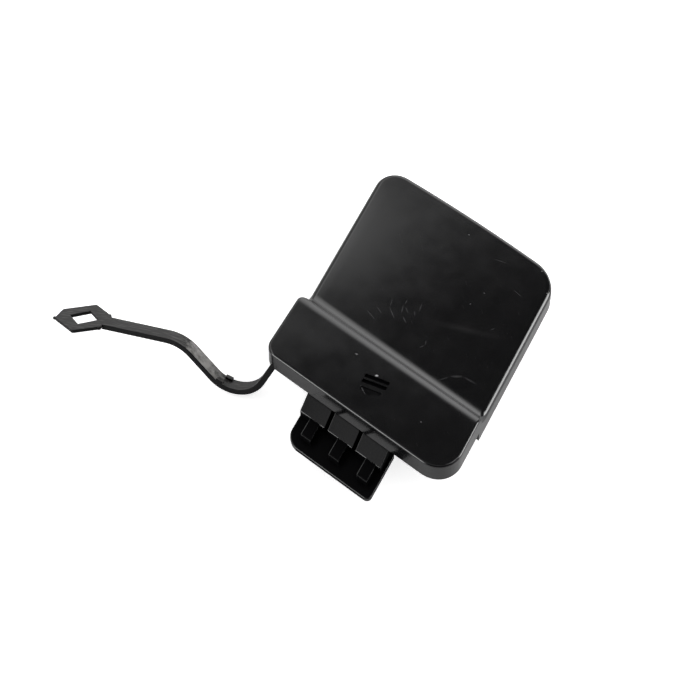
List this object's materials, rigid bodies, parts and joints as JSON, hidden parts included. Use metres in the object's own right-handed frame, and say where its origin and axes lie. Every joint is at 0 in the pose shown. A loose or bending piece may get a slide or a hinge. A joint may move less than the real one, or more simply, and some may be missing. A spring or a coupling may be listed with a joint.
{
  "type": "bumper tow hook cover",
  "caption": "Stepped plastic cover that clips over a bumper's towing-eye opening, with a ribbed tongue, snap hooks and a flat tether with an eye.",
  "frame": {"origin": "on the seat plane of the large panel's skirt, on the centre line between the side edges, at the middle of the cover's length", "axes": "+Z points out of the bumper, square to the panel; +Y runs along the side edges, towards the top edge; +X points away from the tether"},
  "size_m": [0.178, 0.144, 0.0278],
  "materials": {
    "black_plastic": "satin, injection moulded"
  },
  "bodies": {
    "root": {"tow_hook_cover": "black_plastic"}
  },
  "joints": []
}
